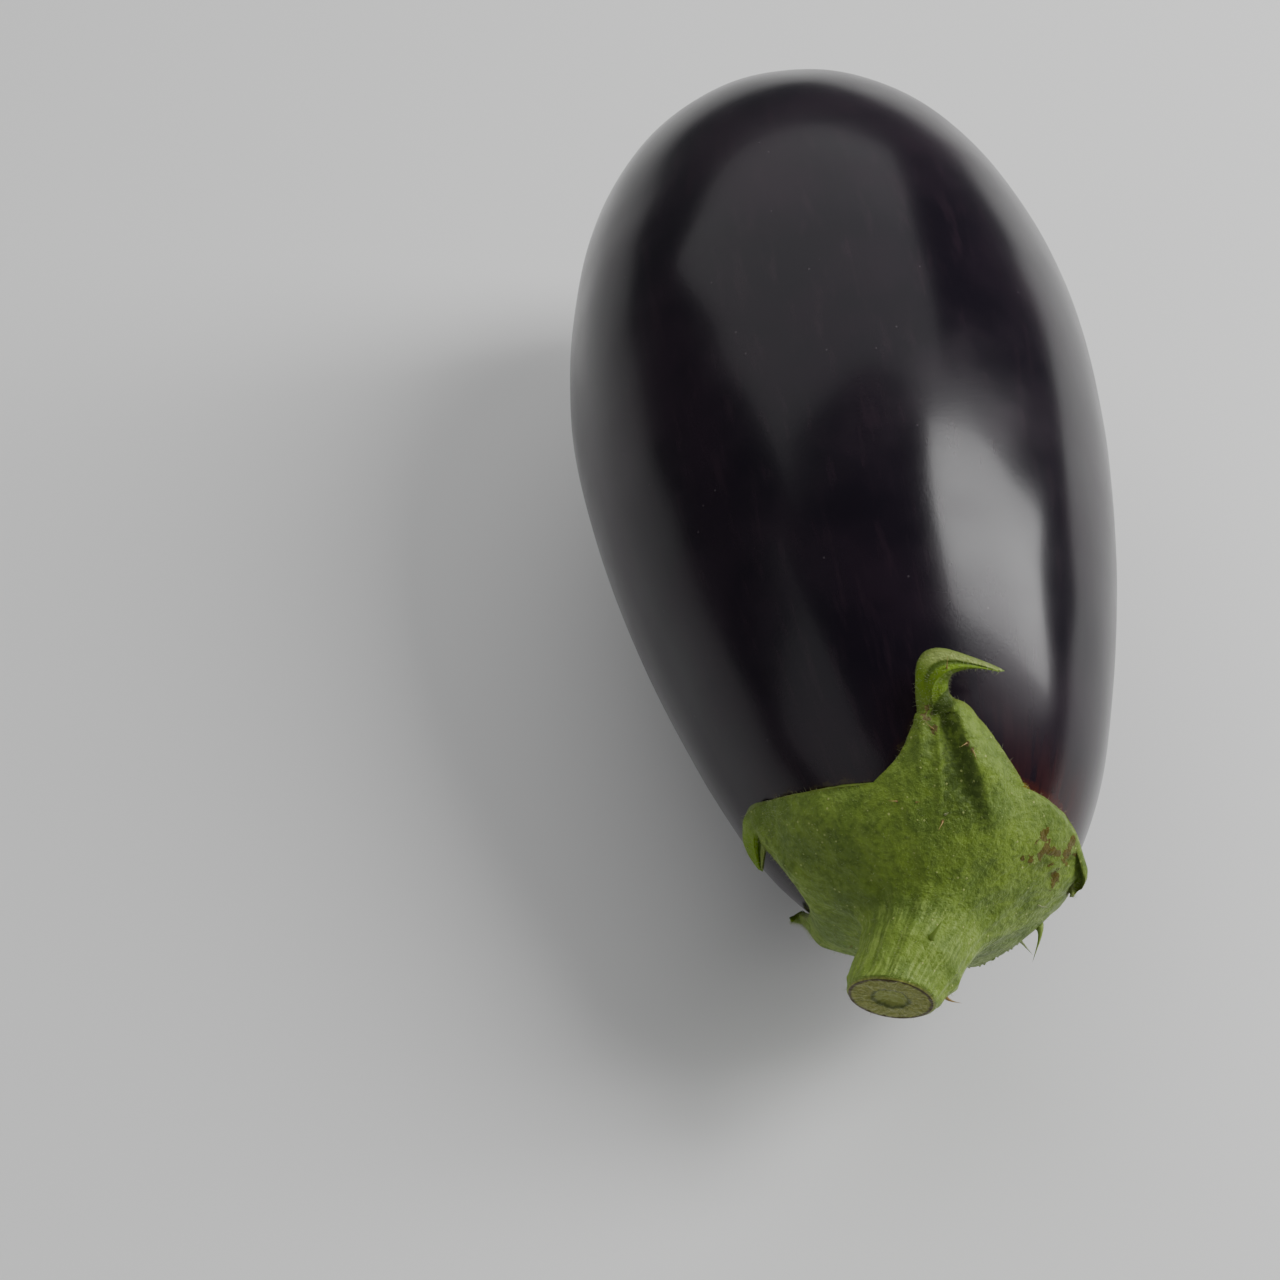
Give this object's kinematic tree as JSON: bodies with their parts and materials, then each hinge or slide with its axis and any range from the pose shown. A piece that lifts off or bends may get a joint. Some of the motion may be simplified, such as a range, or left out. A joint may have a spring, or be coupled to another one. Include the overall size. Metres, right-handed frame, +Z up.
{
  "type": "eggplant",
  "caption": "Globe eggplant lying on its side: a glossy, nearly black purple berry with a green cap of pointed sepals and a short cut stalk.",
  "frame": {"origin": "centre of the small flat on the underside that the berry rests on", "axes": "+Y along the berry from its stalk end to its blossom end, +Z up, +X to the right when seen from the stalk end"},
  "size_m": [0.0945, 0.1882, 0.0945],
  "materials": {
    "skin": "smooth waxy skin, nearly black purple, glossy with soft highlights",
    "calyx": "green, finely hairy, dull, with small pale dots, brown corky scars and a paler cut face"
  },
  "bodies": {
    "root": {"fruit": "skin", "calyx_with_stalk": "calyx"}
  },
  "joints": []
}
